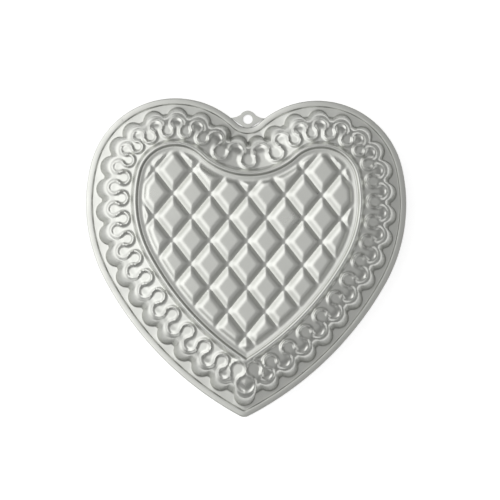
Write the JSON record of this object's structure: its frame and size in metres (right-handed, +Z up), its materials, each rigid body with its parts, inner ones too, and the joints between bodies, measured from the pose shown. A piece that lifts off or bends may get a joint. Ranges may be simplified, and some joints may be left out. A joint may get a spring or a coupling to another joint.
{
  "type": "heart cake pan",
  "caption": "Heart shaped pressed aluminium cake pan with scalloped sides, a quilted diamond top, a flat rim and a hanging tab.",
  "frame": {"origin": "centre of the bounding box at the plane of the rim", "axes": "+Z up through the quilted top, away from the open mouth; -Y to the tip of the heart; +Y to the notch and the hanging tab"},
  "size_m": [0.292, 0.2892, 0.04],
  "materials": {
    "satin_aluminium": "satin"
  },
  "bodies": {
    "root": {"heart_pan": "satin_aluminium"}
  },
  "joints": []
}
